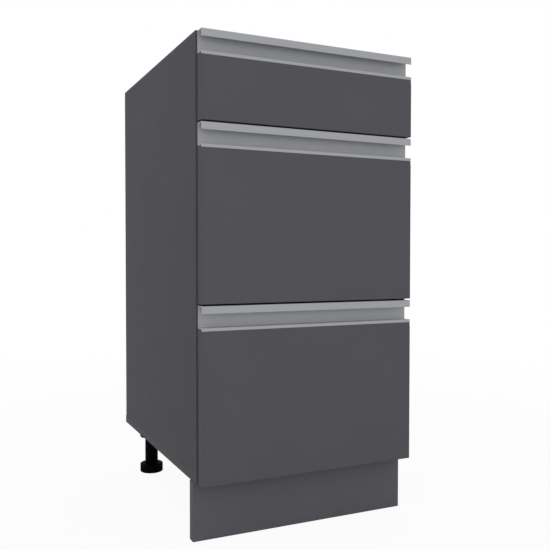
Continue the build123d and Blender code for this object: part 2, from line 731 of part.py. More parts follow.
# ---------------------------------------------------------------- drawers
# The handle's section, from the front face and from its lower end: an open channel with a
# deep upper lip, a shallow lower lip over the board's edge, and a tongue into the board.
HANDLE_BACK = FRONT_THICKNESS - HANDLE_WALL
TONGUE_NEAR = TONGUE_SETBACK - TONGUE_THICKNESS / 2
TONGUE_FAR = TONGUE_SETBACK + TONGUE_THICKNESS / 2
HANDLE_SECTION = [
    (0, 0),
    (0, HANDLE_LOWER_LIP),
    (HANDLE_BACK, HANDLE_LOWER_LIP),
    (HANDLE_BACK, HANDLE_HEIGHT - HANDLE_WALL),
    (HANDLE_WALL, HANDLE_HEIGHT - HANDLE_WALL),
    (HANDLE_WALL, HANDLE_HEIGHT - HANDLE_UPPER_LIP),
    (0, HANDLE_HEIGHT - HANDLE_UPPER_LIP),
    (0, HANDLE_HEIGHT),
    (FRONT_THICKNESS, HANDLE_HEIGHT),
    (FRONT_THICKNESS, HANDLE_SEAT),
    (TONGUE_FAR, HANDLE_SEAT),
    (TONGUE_FAR, HANDLE_SEAT - TONGUE_DEPTH),
    (TONGUE_NEAR, HANDLE_SEAT - TONGUE_DEPTH),
    (TONGUE_NEAR, HANDLE_SEAT),
    (HANDLE_WALL, HANDLE_SEAT),
    (HANDLE_WALL, 0),
]

for drawer in DRAWERS:
    name = drawer["name"]
    handle_low = drawer["high"] - HANDLE_HEIGHT
    box_low, box_high = drawer["box_low"], drawer["box_high"]
    groove_low = box_low + GROOVE_RISE
    groove_high = groove_low + BOX_BOTTOM + 2 * FIT

    with BuildPart() as handle:
        left_end = (-FRONT_X, FRONT_FACE_Y, handle_low)
        with BuildSketch(Plane(origin=left_end, x_dir=(0, 1, 0), z_dir=(1, 0, 0))) as profile:
            with BuildLine():
                Polyline(*HANDLE_SECTION, close=True)
            make_face()
            seated = profile.vertices().filter_by_position(Axis.Y, HANDLE_SEAT - FIT, HANDLE_SEAT + FIT)
            bends = profile.vertices().filter_by_position(Axis.X, HANDLE_BACK - FIT, HANDLE_BACK + FIT)
            fillet(profile.vertices() - seated - bends, HANDLE_EDGE)
            bends = profile.vertices().filter_by_position(Axis.X, HANDLE_BACK - FIT, HANDLE_BACK + FIT)
            fillet(bends, HANDLE_BEND)
        extrude(amount=2 * FRONT_X)
        drill(handle_screw_hole, handle_screw_places(drawer))
    save(handle, f"drawer_{name}_handle")

    with BuildPart() as front:
        slab((-FRONT_X, FRONT_FACE_Y, drawer["low"]), (FRONT_X, BOX_Y, drawer["seat"]))
        chamfer(front.edges(), EDGE_EASE)
        slab(
            (-FRONT_X, FRONT_FACE_Y, handle_low - FIT),
            (FRONT_X, FRONT_FACE_Y + HANDLE_WALL + FIT, drawer["seat"]),
            mode=Mode.SUBTRACT,
        )
        slab(
            (-FRONT_X, FRONT_FACE_Y + TONGUE_NEAR - FIT, drawer["seat"] - TONGUE_DEPTH - FIT),
            (FRONT_X, FRONT_FACE_Y + TONGUE_FAR + FIT, drawer["seat"]),
            mode=Mode.SUBTRACT,
        )
        drill(handle_screw_hole, handle_screw_places(drawer))
        drill(wood_screw_hole, front_screw_places(drawer))
    save(front, f"drawer_{name}_front")

    for side, side_name in zip(SIDES, ("left", "right")):
        inner, outer = side * BOX_INNER_X, side * BOX_X
        floor = side * (BOX_INNER_X + GROOVE_DEPTH)
        with BuildPart() as box_side:
            slab((min(inner, outer), BOX_Y, box_low), (max(inner, outer), BOX_REAR_Y, box_high))
            chamfer(box_side.edges(), EDGE_EASE)
            slab(
                (min(inner, floor), BOX_Y, groove_low),
                (max(inner, floor), BOX_REAR_Y, groove_high),
                mode=Mode.SUBTRACT,
            )
            drill(wood_screw_hole, corner_screw_places(drawer, side))
            drill(member_screw_hole, member_screw_places(drawer, side))
        save(box_side, f"drawer_{name}_box_side_{side_name}")

    with BuildPart() as box_front:
        slab((-BOX_INNER_X, BOX_Y, box_low), (BOX_INNER_X, BOX_Y + BOX_BOARD, box_high))
        chamfer(box_front.edges(), EDGE_EASE)
        slab(
            (-BOX_INNER_X, BOX_Y + BOX_BOARD - GROOVE_DEPTH, groove_low),
            (BOX_INNER_X, BOX_Y + BOX_BOARD, groove_high),
            mode=Mode.SUBTRACT,
        )
        for side in SIDES:
            drill(wood_screw_hole, corner_screw_places(drawer, side))
        drill(wood_screw_hole, front_screw_places(drawer))
    save(box_front, f"drawer_{name}_box_front")

    with BuildPart() as box_back:
        slab((-BOX_INNER_X, BOX_REAR_Y - BOX_BOARD, groove_high), (BOX_INNER_X, BOX_REAR_Y, box_high))
        chamfer(box_back.edges(), EDGE_EASE)
        for side in SIDES:
            drill(wood_screw_hole, corner_screw_places(drawer, side))
        drill(wood_screw_hole, bottom_screw_places(drawer))
    save(box_back, f"drawer_{name}_box_back")

    with BuildPart() as box_bottom:
        reach = BOX_INNER_X + GROOVE_DEPTH - FIT
        slab(
            (-reach, BOX_Y + BOX_BOARD - GROOVE_DEPTH + FIT, groove_low + FIT),
            (reach, BOX_REAR_Y, groove_high - FIT),
        )
        drill(wood_screw_hole, bottom_screw_places(drawer))
    save(box_bottom, f"drawer_{name}_box_bottom")

    with BuildPart() as drawer_screws:
        with Locations(*front_screw_places(drawer), *bottom_screw_places(drawer)):
            add(wood_screw.part)
        with Locations(*handle_screw_places(drawer)):
            add(handle_screw.part)
        for side in SIDES:
            with Locations(*corner_screw_places(drawer, side)):
                add(wood_screw.part)
            with Locations(*member_screw_places(drawer, side)):
                add(member_screw.part)
    save(drawer_screws, f"drawer_{name}_screws")
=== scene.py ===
import math

import bmesh
import bpy
from mathutils import Matrix, Vector


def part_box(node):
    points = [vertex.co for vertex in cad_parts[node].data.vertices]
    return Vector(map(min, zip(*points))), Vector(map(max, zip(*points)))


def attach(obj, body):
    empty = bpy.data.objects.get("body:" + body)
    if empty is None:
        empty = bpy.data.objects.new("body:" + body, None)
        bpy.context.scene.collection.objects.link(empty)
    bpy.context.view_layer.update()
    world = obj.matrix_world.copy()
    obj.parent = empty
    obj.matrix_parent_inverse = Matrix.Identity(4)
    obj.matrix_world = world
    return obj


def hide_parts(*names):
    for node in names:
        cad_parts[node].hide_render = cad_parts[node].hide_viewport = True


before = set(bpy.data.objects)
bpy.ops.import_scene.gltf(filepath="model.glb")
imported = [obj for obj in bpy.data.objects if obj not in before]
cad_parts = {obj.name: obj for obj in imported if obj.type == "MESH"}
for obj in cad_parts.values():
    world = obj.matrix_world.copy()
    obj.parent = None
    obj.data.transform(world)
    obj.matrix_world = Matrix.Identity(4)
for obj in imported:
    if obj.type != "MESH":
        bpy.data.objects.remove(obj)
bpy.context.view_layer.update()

# A kitchen base unit with three drawers, in metres. The CAD pieces keep their shapes and get
# their finishes here. The levelling feet, the ribs of the leg sockets, the ball cages and
# release levers of the runners, the end bands of the fronts and the bumper dots behind them are
# made here.

MM = 0.001
X, Y, Z = range(3)
UP, DOWN, BACKWARD, FORWARD = (Z, 1), (Z, -1), (Y, 1), (Y, -1)  # axis and sign
SIDES = (-1, 1)
DRAWERS = ("top", "middle", "bottom")
LEGS = ("front_left", "front_right", "rear_left", "rear_right")

# ---------------------------------------------------------------- colours, linear
# The carcass boards and the fronts are one laminate. The boards' tone is painted shade, darker than
# the fronts' to offset the sheen that the side panels catch at a grazing view.
GRAPHITE_BOARD_PAINTED_SHADE = (0.0740, 0.0735, 0.0832)
# The plinth's tone is painted light: the same laminate, made lighter to offset the shade under the
# fronts' overhang and near the floor.
GRAPHITE_PLINTH_PAINTED_LIGHT = (0.1045, 0.1034, 0.1160)
GRAPHITE_FRONT = (0.0883, 0.0862, 0.0972)
GREY_BOX = (0.640, 0.645, 0.640)
CHIPS_DARK = (0.150, 0.088, 0.042)
CHIPS_MIDDLE = (0.370, 0.250, 0.140)
CHIPS_LIGHT = (0.560, 0.430, 0.275)
FIBRE_DARK = (0.165, 0.092, 0.045)
FIBRE_LIGHT = (0.270, 0.165, 0.088)
ALUMINIUM = (0.374, 0.383, 0.400)
ALUMINIUM_CUT = (0.420, 0.425, 0.435)
ZINC = (0.560, 0.575, 0.590)
STRIP = (0.440, 0.452, 0.465)
STRIP_SHADE = (0.355, 0.360, 0.362)
POLISHED = (0.680, 0.690, 0.700)
CAST_ZINC = (0.470, 0.470, 0.460)
BLACK_PLASTIC = (0.0012, 0.0012, 0.0014)
BEECH_LIGHT = (0.560, 0.380, 0.220)
BEECH_DARK = (0.420, 0.260, 0.135)
PALE_FLOOR = (0.86, 0.86, 0.86)
WHITE = (1.0, 1.0, 1.0)


def tinted(colour, share):
    return tuple(part * share for part in colour)


def placed(name, data):
    """A new object in the scene, at the origin."""
    made = bpy.data.objects.new(name, data)
    bpy.context.scene.collection.objects.link(made)
    return made


# ---------------------------------------------------------------- how nodes are written
MIX_FACTOR, MIX_FIRST, MIX_SECOND, MIX_RESULT = 0, 6, 7, 2  # a Mix node's sockets for colours
FACES_ALONG = 0.9  # least part of a face's normal along the axis that the face looks along


class Value:
    """A node's output. Python's operators on it add Math nodes."""

    def __init__(self, nodes, socket):
        self.nodes = nodes
        self.socket = socket

    def maths(self, operation, *values):
        return self.nodes.node("ShaderNodeMath", {"operation": operation}, values)

    def __add__(self, other):
        return self.maths("ADD", self, other)

    def __sub__(self, other):
        return self.maths("SUBTRACT", self, other)

    def __rsub__(self, other):
        return self.maths("SUBTRACT", other, self)

    def __mul__(self, other):
        return self.maths("MULTIPLY", self, other)

    def __mod__(self, other):
        return self.maths("MODULO", self, other)

    def __lt__(self, other):
        return self.maths("LESS_THAN", self, other)

    def __gt__(self, other):
        return self.maths("GREATER_THAN", self, other)

    def __abs__(self):
        return self.maths("ABSOLUTE", self)

    def __or__(self, other):
        return self.maths("MAXIMUM", self, other)

    __radd__ = __add__
    __rmul__ = __mul__


class Nodes:
    """A node tree being made."""

    def __init__(self, tree):
        self.tree = tree

    def feed(self, socket, value):
        if isinstance(value, Value):
            self.tree.links.new(value.socket, socket)
        elif isinstance(value, tuple) and socket.type == "RGBA":
            socket.default_value = (*value, 1.0)
        else:
            socket.default_value = value

    def node(self, kind, settings=None, inputs=(), output=0):
        """Add a node with its settings and inputs, by number or name, and return an output."""
        made = self.tree.nodes.new(kind)
        for name, setting in (settings or {}).items():
            setattr(made, name, setting)
        named = inputs if isinstance(inputs, dict) else dict(enumerate(inputs))
        for key, value in named.items():
            self.feed(made.inputs[key], value)
        return Value(self, made.outputs[output])

    def parts(self, vector):
        """The X, Y and Z of a vector."""
        split = self.node("ShaderNodeSeparateXYZ", inputs=[vector])
        return [Value(self, socket) for socket in split.socket.node.outputs]


class Finish(Nodes):
    """A material being made: a Principled shader and the nodes that feed it."""

    def __init__(self, name, roughness, metallic=0.0, specular=0.5):
        self.material = bpy.data.materials.new(name)
        self.material.use_nodes = True
        super().__init__(self.material.node_tree)
        self.shader = self.tree.nodes["Principled BSDF"]
        self.give("Roughness", roughness)
        self.give("Metallic", metallic)
        self.give("Specular IOR Level", specular)
        self.place = self.node("ShaderNodeTexCoord", output="Object")

    def give(self, name, value):
        """Feed an input of the shader."""
        self.feed(self.shader.inputs[name], value)

    def blend(self, factor, first, second):
        """A colour between two colours."""
        inputs = {MIX_FACTOR: factor, MIX_FIRST: first, MIX_SECOND: second}
        return self.node("ShaderNodeMix", {"data_type": "RGBA"}, inputs, MIX_RESULT)

    def stretched(self, stretch):
        return self.node("ShaderNodeMapping", inputs={"Vector": self.place, "Scale": stretch})

    def noise(self, scale, detail=2.0, stretch=(1, 1, 1)):
        """Noise from 0 to 1, with features of about 1/scale metres.

        They are longer along an axis where stretch is small.
        """
        inputs = {"Vector": self.stretched(stretch), "Scale": scale, "Detail": detail}
        return self.node("ShaderNodeTexNoise", inputs=inputs, output="Fac")

    def cells(self, scale, stretch=(1, 1, 1)):
        """Voronoi cells, such as wood particles, each with a value of its own from 0 to 1."""
        inputs = {"Vector": self.stretched(stretch), "Scale": scale}
        return self.parts(self.node("ShaderNodeTexVoronoi", inputs=inputs, output="Color"))[0]

    def grade(self, value, low, high):
        """A value from 0 to 1 as it goes from low to high."""
        inputs = {"Value": value, "From Min": low, "From Max": high}
        return self.node("ShaderNodeMapRange", {"clamp": True}, inputs)

    def faces(self, axis, sign):
        """1 on faces that look along an axis, 0 elsewhere."""
        normal = self.node("ShaderNodeNewGeometry", output="Normal")
        return self.parts(normal)[axis] * sign > FACES_ALONG

    def relief(self, height, depth):
        """A bump whose height from 0 to 1 stands for a depth in metres."""
        inputs = {"Strength": 1.0, "Distance": depth, "Height": height}
        self.give("Normal", self.node("ShaderNodeBump", inputs=inputs))


class Recipe(Nodes):
    """A Geometry Nodes tree being made, with named inputs for its sizes."""

    def __init__(self, name):
        super().__init__(bpy.data.node_groups.new(name, "GeometryNodeTree"))
        for direction in ("OUTPUT", "INPUT"):
            self.opening("Geometry", direction, "NodeSocketGeometry")
        self.inside = self.tree.nodes.new("NodeGroupInput")
        self.outside = self.tree.nodes.new("NodeGroupOutput")
        self.seeds = Value(self, self.inside.outputs["Geometry"])
        self.sizes = {}

    def opening(self, name, direction, kind):
        """An input or output of the tree itself."""
        return self.tree.interface.new_socket(name, in_out=direction, socket_type=kind)

    def size(self, name, value):
        """A named input of the tree, with its value."""
        kind = "NodeSocketInt" if isinstance(value, int) else "NodeSocketFloat"
        socket = self.opening(name, "INPUT", kind)
        self.sizes[socket.identifier] = value
        return Value(self, self.inside.outputs[name])

    def vector(self, x=0.0, y=0.0, z=0.0):
        return self.node("ShaderNodeCombineXYZ", inputs=[x, y, z])

    def join(self, *geometries):
        joined = self.node("GeometryNodeJoinGeometry", inputs=geometries[:1])
        for geometry in geometries[1:]:
            self.tree.links.new(geometry.socket, joined.socket.node.inputs[0])
        return joined

    def spread(self, shape, points, **more):
        """A shape at every point, as real geometry."""
        inputs = {"Points": points, "Instance": shape, **more}
        many = self.node("GeometryNodeInstanceOnPoints", inputs=inputs)
        return self.node("GeometryNodeRealizeInstances", inputs=[many])

    def circle(self, sides, radius):
        inputs = {"Resolution": sides, "Radius": radius}
        return self.node("GeometryNodeCurvePrimitiveCircle", inputs=inputs)

    def oblong(self, width, height):
        inputs = {"Width": width, "Height": height}
        return self.node("GeometryNodeCurvePrimitiveQuadrilateral", inputs=inputs)

    def moved(self, geometry, offset):
        inputs = {"Geometry": geometry, "Translation": offset}
        return self.node("GeometryNodeTransform", inputs=inputs)

    def smoothed(self, geometry):
        return self.node("GeometryNodeSetShadeSmooth", inputs={"Geometry": geometry})

    def coated(self, geometry, material):
        inputs = {"Geometry": geometry, "Material": material}
        return self.node("GeometryNodeSetMaterial", inputs=inputs)

    def grow(self, name, geometry, points):
        """Run the tree on loose points, and return the result as a plain mesh's object."""
        self.tree.links.new(geometry.socket, self.outside.inputs[0])
        seeds = bpy.data.meshes.new(f"{name}_seeds")
        seeds.from_pydata(points, [], [])
        grower = placed(f"{name}_grower", seeds)
        modifier = grower.modifiers.new("recipe", "NODES")
        modifier.node_group = self.tree
        for identifier, value in self.sizes.items():
            modifier[identifier] = value
        graph = bpy.context.evaluated_depsgraph_get()
        mesh = bpy.data.meshes.new_from_object(grower.evaluated_get(graph))
        grower.modifiers.remove(modifier)
        bpy.data.objects.remove(grower)
        return placed(name, mesh)


# ---------------------------------------------------------------- the finishes
EDGE_BAND = 1.0 * MM
GLUE_LINE = 0.15 * MM
BOARD_GRAIN = 2600
BOARD_SPECULAR = 0.06
RAW_ROUGHER = 0.35  # what a raw face or edge adds to the roughness
BAND_TINT = 0.93
BAND_SHARE = 0.5
GLUE_TINT = 0.55
GLUE_SHARE = 0.3


def chips(finish):
    """The colour of a chipboard's raw edge: pressed flakes with dark gaps."""
    flakes = finish.cells(620, (1, 1, 2.2))
    crumbs = finish.noise(1500, 3.0)
    tone = finish.grade(flakes * 0.7 + crumbs * 0.5, 0.25, 1.0)
    light = finish.blend(tone, CHIPS_MIDDLE, CHIPS_LIGHT)
    gap = finish.grade(finish.noise(420, 4.0), 0.56, 0.70)
    return finish.blend(gap, light, CHIPS_DARK)


def board(node, name, colour, thin, raw=()):
    """Melamine-faced chipboard with edge banding round its rim.

    thin is the axis across the board. raw lists the (axis, sign) of its unbanded edges.
    """
    finish = Finish(name, 0.6, specular=BOARD_SPECULAR)
    low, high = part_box(node)
    centre, half = (low + high) / 2, (high - low) / 2
    here = finish.parts(finish.place)
    broad = [axis for axis in (X, Y, Z) if axis != thin]
    first, second = [half[axis] - abs(here[axis] - centre[axis]) for axis in broad]
    band = (first < EDGE_BAND) | (second < EDGE_BAND)
    glue = band - ((first < EDGE_BAND - GLUE_LINE) | (second < EDGE_BAND - GLUE_LINE))
    cloud = finish.noise(9, 3.0)
    grain = finish.noise(BOARD_GRAIN, 2.0)
    pores = finish.noise(900, 1.0)
    shade = finish.blend(finish.grade(cloud, 0.3, 0.7), tinted(colour, 0.98), tinted(colour, 1.02))
    shade = finish.blend(band * BAND_SHARE, shade, tinted(colour, BAND_TINT))
    shade = finish.blend(glue * GLUE_SHARE, shade, tinted(colour, GLUE_TINT))
    rough = 0.58 + 0.08 * finish.noise(25, 3.0) + 0.05 * pores - 0.06 * band
    for axis, sign in raw:
        bare = finish.faces(axis, sign)
        shade = finish.blend(bare, shade, chips(finish))
        rough = rough + bare * RAW_ROUGHER
    finish.give("Base Color", shade)
    finish.give("Roughness", rough)
    finish.relief(grain * 0.6 + pores * 0.4, 0.02 * MM)
    wear(node, finish.material)


def edge_band():
    """Thin graphite edge band, a little smoother than the boards."""
    finish = Finish("graphite_edge_band", 0.55, specular=BOARD_SPECULAR)
    cloud = finish.noise(14, 3.0)
    grain = finish.noise(BOARD_GRAIN, 2.0)
    darker, lighter = tinted(GRAPHITE_FRONT, 0.88), tinted(GRAPHITE_FRONT, 0.97)
    finish.give("Base Color", finish.blend(cloud, darker, lighter))
    finish.give("Roughness", 0.52 + 0.08 * grain)
    finish.relief(grain, 0.015 * MM)
    return finish.material


def hardboard(node, name, colour, painted):
    """Hardboard, painted on the face that looks along painted, (axis, sign), and raw elsewhere."""
    finish = Finish(name, 0.7, specular=0.2)
    fibres = finish.noise(700, 4.0) * 0.8 + finish.noise(60, 3.0) * 0.2
    specks = finish.grade(finish.noise(1400, 2.0), 0.60, 0.75)
    fibre = finish.blend(finish.grade(fibres, 0.3, 0.7), FIBRE_DARK, FIBRE_LIGHT)
    fibre = finish.blend(specks * 0.5, fibre, FIBRE_DARK)
    bare = 1 - finish.faces(*painted)
    finish.give("Base Color", finish.blend(bare, colour, fibre))
    finish.give("Roughness", 0.45 + bare * RAW_ROUGHER)
    finish.relief(fibres * bare + finish.noise(1800) * 0.3, 0.05 * MM)
    wear(node, finish.material)


def anodised_aluminium():
    """An extruded bar along X: fine die lines, satin anodising and sawn ends."""
    finish = Finish("satin_anodised_aluminium", 0.6, metallic=0.22, specular=0.2)
    lines = finish.noise(5200, 2.0, (0.004, 1, 1))
    streaks = finish.noise(700, 2.0, (0.01, 1, 1))
    ends = finish.faces(X, 1) | finish.faces(X, -1)
    saw = finish.noise(3800, 2.0, (1, 0.15, 1))
    satin = finish.blend(streaks, tinted(ALUMINIUM, 0.96), ALUMINIUM)
    finish.give("Base Color", finish.blend(ends, satin, ALUMINIUM_CUT))
    finish.give("Roughness", 0.62 + 0.10 * lines + ends * 0.08)
    finish.relief(lines * (1 - ends) + saw * ends, 0.012 * MM)
    return finish.material


def zinc_strip():
    """Rolled steel strip along Y, bright zinc plated, with drawing lines and a cloudy bloom."""
    finish = Finish("bright_zinc_strip", 0.4, metallic=1.0)
    bloom = finish.noise(38, 4.0)
    lines = finish.noise(2600, 2.0, (1, 0.01, 1))
    finish.give("Base Color", finish.blend(finish.grade(bloom, 0.35, 0.75), STRIP, STRIP_SHADE))
    finish.give("Roughness", 0.34 + 0.12 * bloom + 0.08 * lines)
    finish.relief(lines * 0.7 + finish.noise(500) * 0.3, 0.010 * MM)
    return finish.material


def plated(name, colour, roughness, grain):
    """A small plated or cast metal piece, with a cloudy tone and a fine surface."""
    finish = Finish(name, roughness, metallic=1.0)
    bloom = finish.noise(240, 3.0)
    finish.give("Base Color", finish.blend(bloom, colour, tinted(colour, 0.86)))
    finish.give("Roughness", roughness + 0.12 * bloom)
    finish.relief(finish.noise(grain, 3.0), 0.012 * MM)
    return finish.material


def moulded_plastic():
    """Black moulded polypropylene with a fine spark-eroded grain."""
    finish = Finish("black_moulded_plastic", 0.6, specular=0.02)
    grain = finish.noise(2100, 3.0)
    cloud = finish.noise(90, 2.0)
    finish.give("Base Color", finish.blend(cloud, BLACK_PLASTIC, tinted(BLACK_PLASTIC, 1.6)))
    finish.give("Roughness", 0.56 + 0.14 * grain)
    finish.relief(grain, 0.03 * MM)
    return finish.material


def beech():
    """Turned beech dowels with short flecks."""
    finish = Finish("beech_dowel", 0.6, specular=0.3)
    flecks = finish.noise(900, 3.0, (0.2, 1, 1))
    finish.give("Base Color", finish.blend(flecks, BEECH_LIGHT, BEECH_DARK))
    finish.give("Roughness", 0.55 + 0.15 * flecks)
    finish.relief(flecks, 0.04 * MM)
    return finish.material


def wear(node, material):
    """Give a CAD node one material all over."""
    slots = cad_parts[node].data.materials
    slots.clear()
    slots.append(material)


aluminium = anodised_aluminium()
strip = zinc_strip()
screw_zinc = plated("zinc_plated_screws", ZINC, 0.30, 1600)
cast_zinc = plated("die_cast_zinc", CAST_ZINC, 0.42, 900)
cage_zinc = plated("zinc_plated_cage", ZINC, 0.26, 1800)
polished = plated("polished_balls", POLISHED, 0.08, 2400)
plastic = moulded_plastic()
banding = edge_band()

# The side panels' darker tone is painted shade against the sheen they catch at a grazing view.
for side in ("left", "right"):
    board(f"side_panel_{side}", f"graphite_side_{side}", GRAPHITE_BOARD_PAINTED_SHADE, X, raw=[UP])
board("bottom_panel", "graphite_bottom_panel", GRAPHITE_BOARD_PAINTED_SHADE, Z, raw=[BACKWARD])
# The plinth's lighter tone is painted light against the shade under the fronts.
board("plinth_panel", "graphite_plinth", GRAPHITE_PLINTH_PAINTED_LIGHT, Y)
for rail in ("front", "rear"):
    board(f"top_rail_{rail}", f"graphite_rail_{rail}", GRAPHITE_BOARD_PAINTED_SHADE, Z, raw=[BACKWARD])
hardboard("back_panel", "back_hardboard", GRAPHITE_BOARD_PAINTED_SHADE, FORWARD)
wear("carcass_dowels", beech())
wear("cam_fittings", cast_zinc)
for place in ("carcass", "leg_socket", "plinth_clip", "runner_cabinet"):
    wear(f"{place}_screws", screw_zinc)
wear("back_panel_nails", screw_zinc)
for node in ("leg_sockets", "leg_tubes", "plinth_clips"):
    wear(node, plastic)

for drawer in DRAWERS:
    board(f"drawer_{drawer}_front", f"graphite_front_{drawer}", GRAPHITE_FRONT, Y)
    wear(f"drawer_{drawer}_handle", aluminium)
    for side in ("left", "right"):
        board(f"drawer_{drawer}_box_side_{side}", f"grey_{drawer}_{side}", GREY_BOX, X, raw=[DOWN])
    for end in ("front", "back"):
        board(f"drawer_{drawer}_box_{end}", f"grey_{drawer}_{end}", GREY_BOX, Y, raw=[DOWN])
    hardboard(f"drawer_{drawer}_box_bottom", f"grey_bottom_{drawer}", GREY_BOX, UP)
    wear(f"drawer_{drawer}_screws", screw_zinc)
    for member in ("cabinet", "middle", "drawer"):
        wear(f"runner_{member}_members_{drawer}", strip)


# ---------------------------------------------------------------- how a piece is made
SMOOTH_BELOW = math.radians(32)  # faces that meet at a larger angle keep a sharp edge
EASE_SEGMENTS = 2


def piece(name, shape, node, material):
    """An object whose shape fills a bmesh, smooth where its faces meet at a shallow angle."""
    filled = bmesh.new()
    shape(filled, node)
    bmesh.ops.recalc_face_normals(filled, faces=filled.faces)
    mesh = bpy.data.meshes.new(name)
    filled.to_mesh(mesh)
    filled.free()
    mesh.shade_smooth()
    mesh.set_sharp_from_angle(angle=SMOOTH_BELOW)
    mesh.materials.append(material)
    return placed(name, mesh)


def fasten(made, body, slot, *nodes):
    """Tie a piece to its body and hide the CAD nodes that it stands for. slot is not used."""
    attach(made, body)
    if nodes:
        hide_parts(*nodes)


def turned(filled, centre, rings, around):
    """A closed surface of revolution from (radius, height) rings.

    A radius is a number or a function of the angle.
    """
    rows = []
    for radius, height in rings:
        row = []
        for step in range(around):
            angle = 2 * math.pi * step / around
            reach = radius(angle) if callable(radius) else radius
            spot = (centre.x + reach * math.cos(angle), centre.y + reach * math.sin(angle), height)
            row.append(filled.verts.new(spot))
        rows.append(row)
    for lower, upper in zip(rows, rows[1:]):
        for step in range(around):
            after = (step + 1) % around
            filled.faces.new((lower[step], lower[after], upper[after], upper[step]))
    filled.faces.new(list(reversed(rows[0])))
    filled.faces.new(rows[-1])


def prism(filled, outline, first, last, ease):
    """A closed solid along X from an outline of (y, z) points, with its last rim eased."""
    near = [filled.verts.new((first, y, z)) for y, z in outline]
    far = [filled.verts.new((last, y, z)) for y, z in outline]
    filled.faces.new(near)
    cap = filled.faces.new(far)
    for here in range(len(outline)):
        after = (here + 1) % len(outline)
        filled.faces.new((near[here], near[after], far[after], far[here]))
    rim = list(cap.edges)
    bmesh.ops.bevel(filled, geom=rim, offset=ease, segments=EASE_SEGMENTS, affect="EDGES")


# ---------------------------------------------------------------- levelling feet
FOOT_AROUND = 144
SOLE_EASE = 1.0 * MM
SHOULDER_EASE = 2.0 * MM
TUBE_GAP = 0.3 * MM  # shoulder of a foot to its tube
SHOULDER_STEPS = 4  # rows of points round the shoulder
GRIPS = 18
GRIP_DEPTH = 0.9 * MM
GRIP_LOW = 2.5 * MM
GRIP_HIGH = 13.0 * MM
GRIP_STEPS = 8  # rows of points up a grip
THREAD_RADIUS = 10.7 * MM
THREAD_PITCH = 4.0 * MM
THREAD_DEPTH = 1.1 * MM
THREAD_AROUND = 48
THREAD_STEPS = 8  # rows of points in one pitch
THREAD_ROOT = 0.5 * MM  # the thread starts this far inside the disc
FLANK_SLOPE = 4.0  # thread depths that a flank would rise in one pitch
FLANK_OFFSET = 0.5  # thread depths cut off the foot of a flank, which leaves the root flat


def foot_disc(filled, centre, radius, shoulder):
    """The disc that stands on the floor, with finger grips round its rim."""

    def grip(share):
        def reach(angle):
            wave = max(0.0, math.cos(GRIPS * angle)) ** 2
            return radius - GRIP_DEPTH * share * wave

        return reach

    rings = [(radius - SOLE_EASE, 0.0), (radius, SOLE_EASE), (radius, GRIP_LOW)]
    for step in range(1, GRIP_STEPS):
        share = math.sin(math.pi * step / GRIP_STEPS) ** 0.5
        rings.append((grip(share), GRIP_LOW + (GRIP_HIGH - GRIP_LOW) * step / GRIP_STEPS))
    rings.append((radius, GRIP_HIGH))
    for step in range(SHOULDER_STEPS + 1):
        turn = math.pi / 2 * step / SHOULDER_STEPS
        inward, down = 1 - math.cos(turn), 1 - math.sin(turn)
        rings.append((radius - SHOULDER_EASE * inward, shoulder - SHOULDER_EASE * down))
    turned(filled, centre, rings, FOOT_AROUND)


def foot_thread(filled, centre, shoulder, top):
    """The coarse thread that goes up from the disc into the tube."""
    base = shoulder - THREAD_ROOT
    rows = round((top - base) / THREAD_PITCH * THREAD_STEPS)

    def flank(height, fade):
        def reach(angle):
            phase = (height / THREAD_PITCH - angle / (2 * math.pi)) % 1.0
            rise = min(1.0, max(0.0, FLANK_SLOPE * abs(phase - 0.5) - FLANK_OFFSET))
            return THREAD_RADIUS - THREAD_DEPTH * (1 - rise * fade)

        return reach

    rings = []
    for row in range(rows + 1):
        height = base + (top - base) * row / rows
        rings.append((flank(height, min(1.0, (rows - row) / THREAD_STEPS)), height))
    turned(filled, centre, rings, THREAD_AROUND)


def foot_shape(filled, node):
    """A whole foot: its disc and its thread."""
    low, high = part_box(node)
    centre = (low + high) / 2
    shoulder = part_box("leg_tubes")[0].z - TUBE_GAP
    foot_disc(filled, centre, (high.x - low.x) / 2, shoulder)
    foot_thread(filled, centre, shoulder, high.z)


for leg in LEGS:
    foot = piece(f"foot_{leg}", foot_shape, f"leg_foot_{leg}", plastic)
    fasten(foot, f"foot_{leg}", "black_plastic", f"leg_foot_{leg}")


# ---------------------------------------------------------------- ribs of the leg sockets
CUP_RADIUS = 24.0 * MM
FLANGE_THICKNESS = 4.0 * MM
RIBS_AROUND = 16
RIBS_TO_A_SCREW = 4  # one rib in so many gives way to a screw
RIB_THICKNESS = 1.8 * MM
RIB_REACH = 7.0 * MM
RIB_DROP = 13.0 * MM
RIB_ROOT = 0.6 * MM  # a rib starts this far inside the cup's wall
RIB_LOSS = 0.8  # share of its reach that a rib loses at its lower end


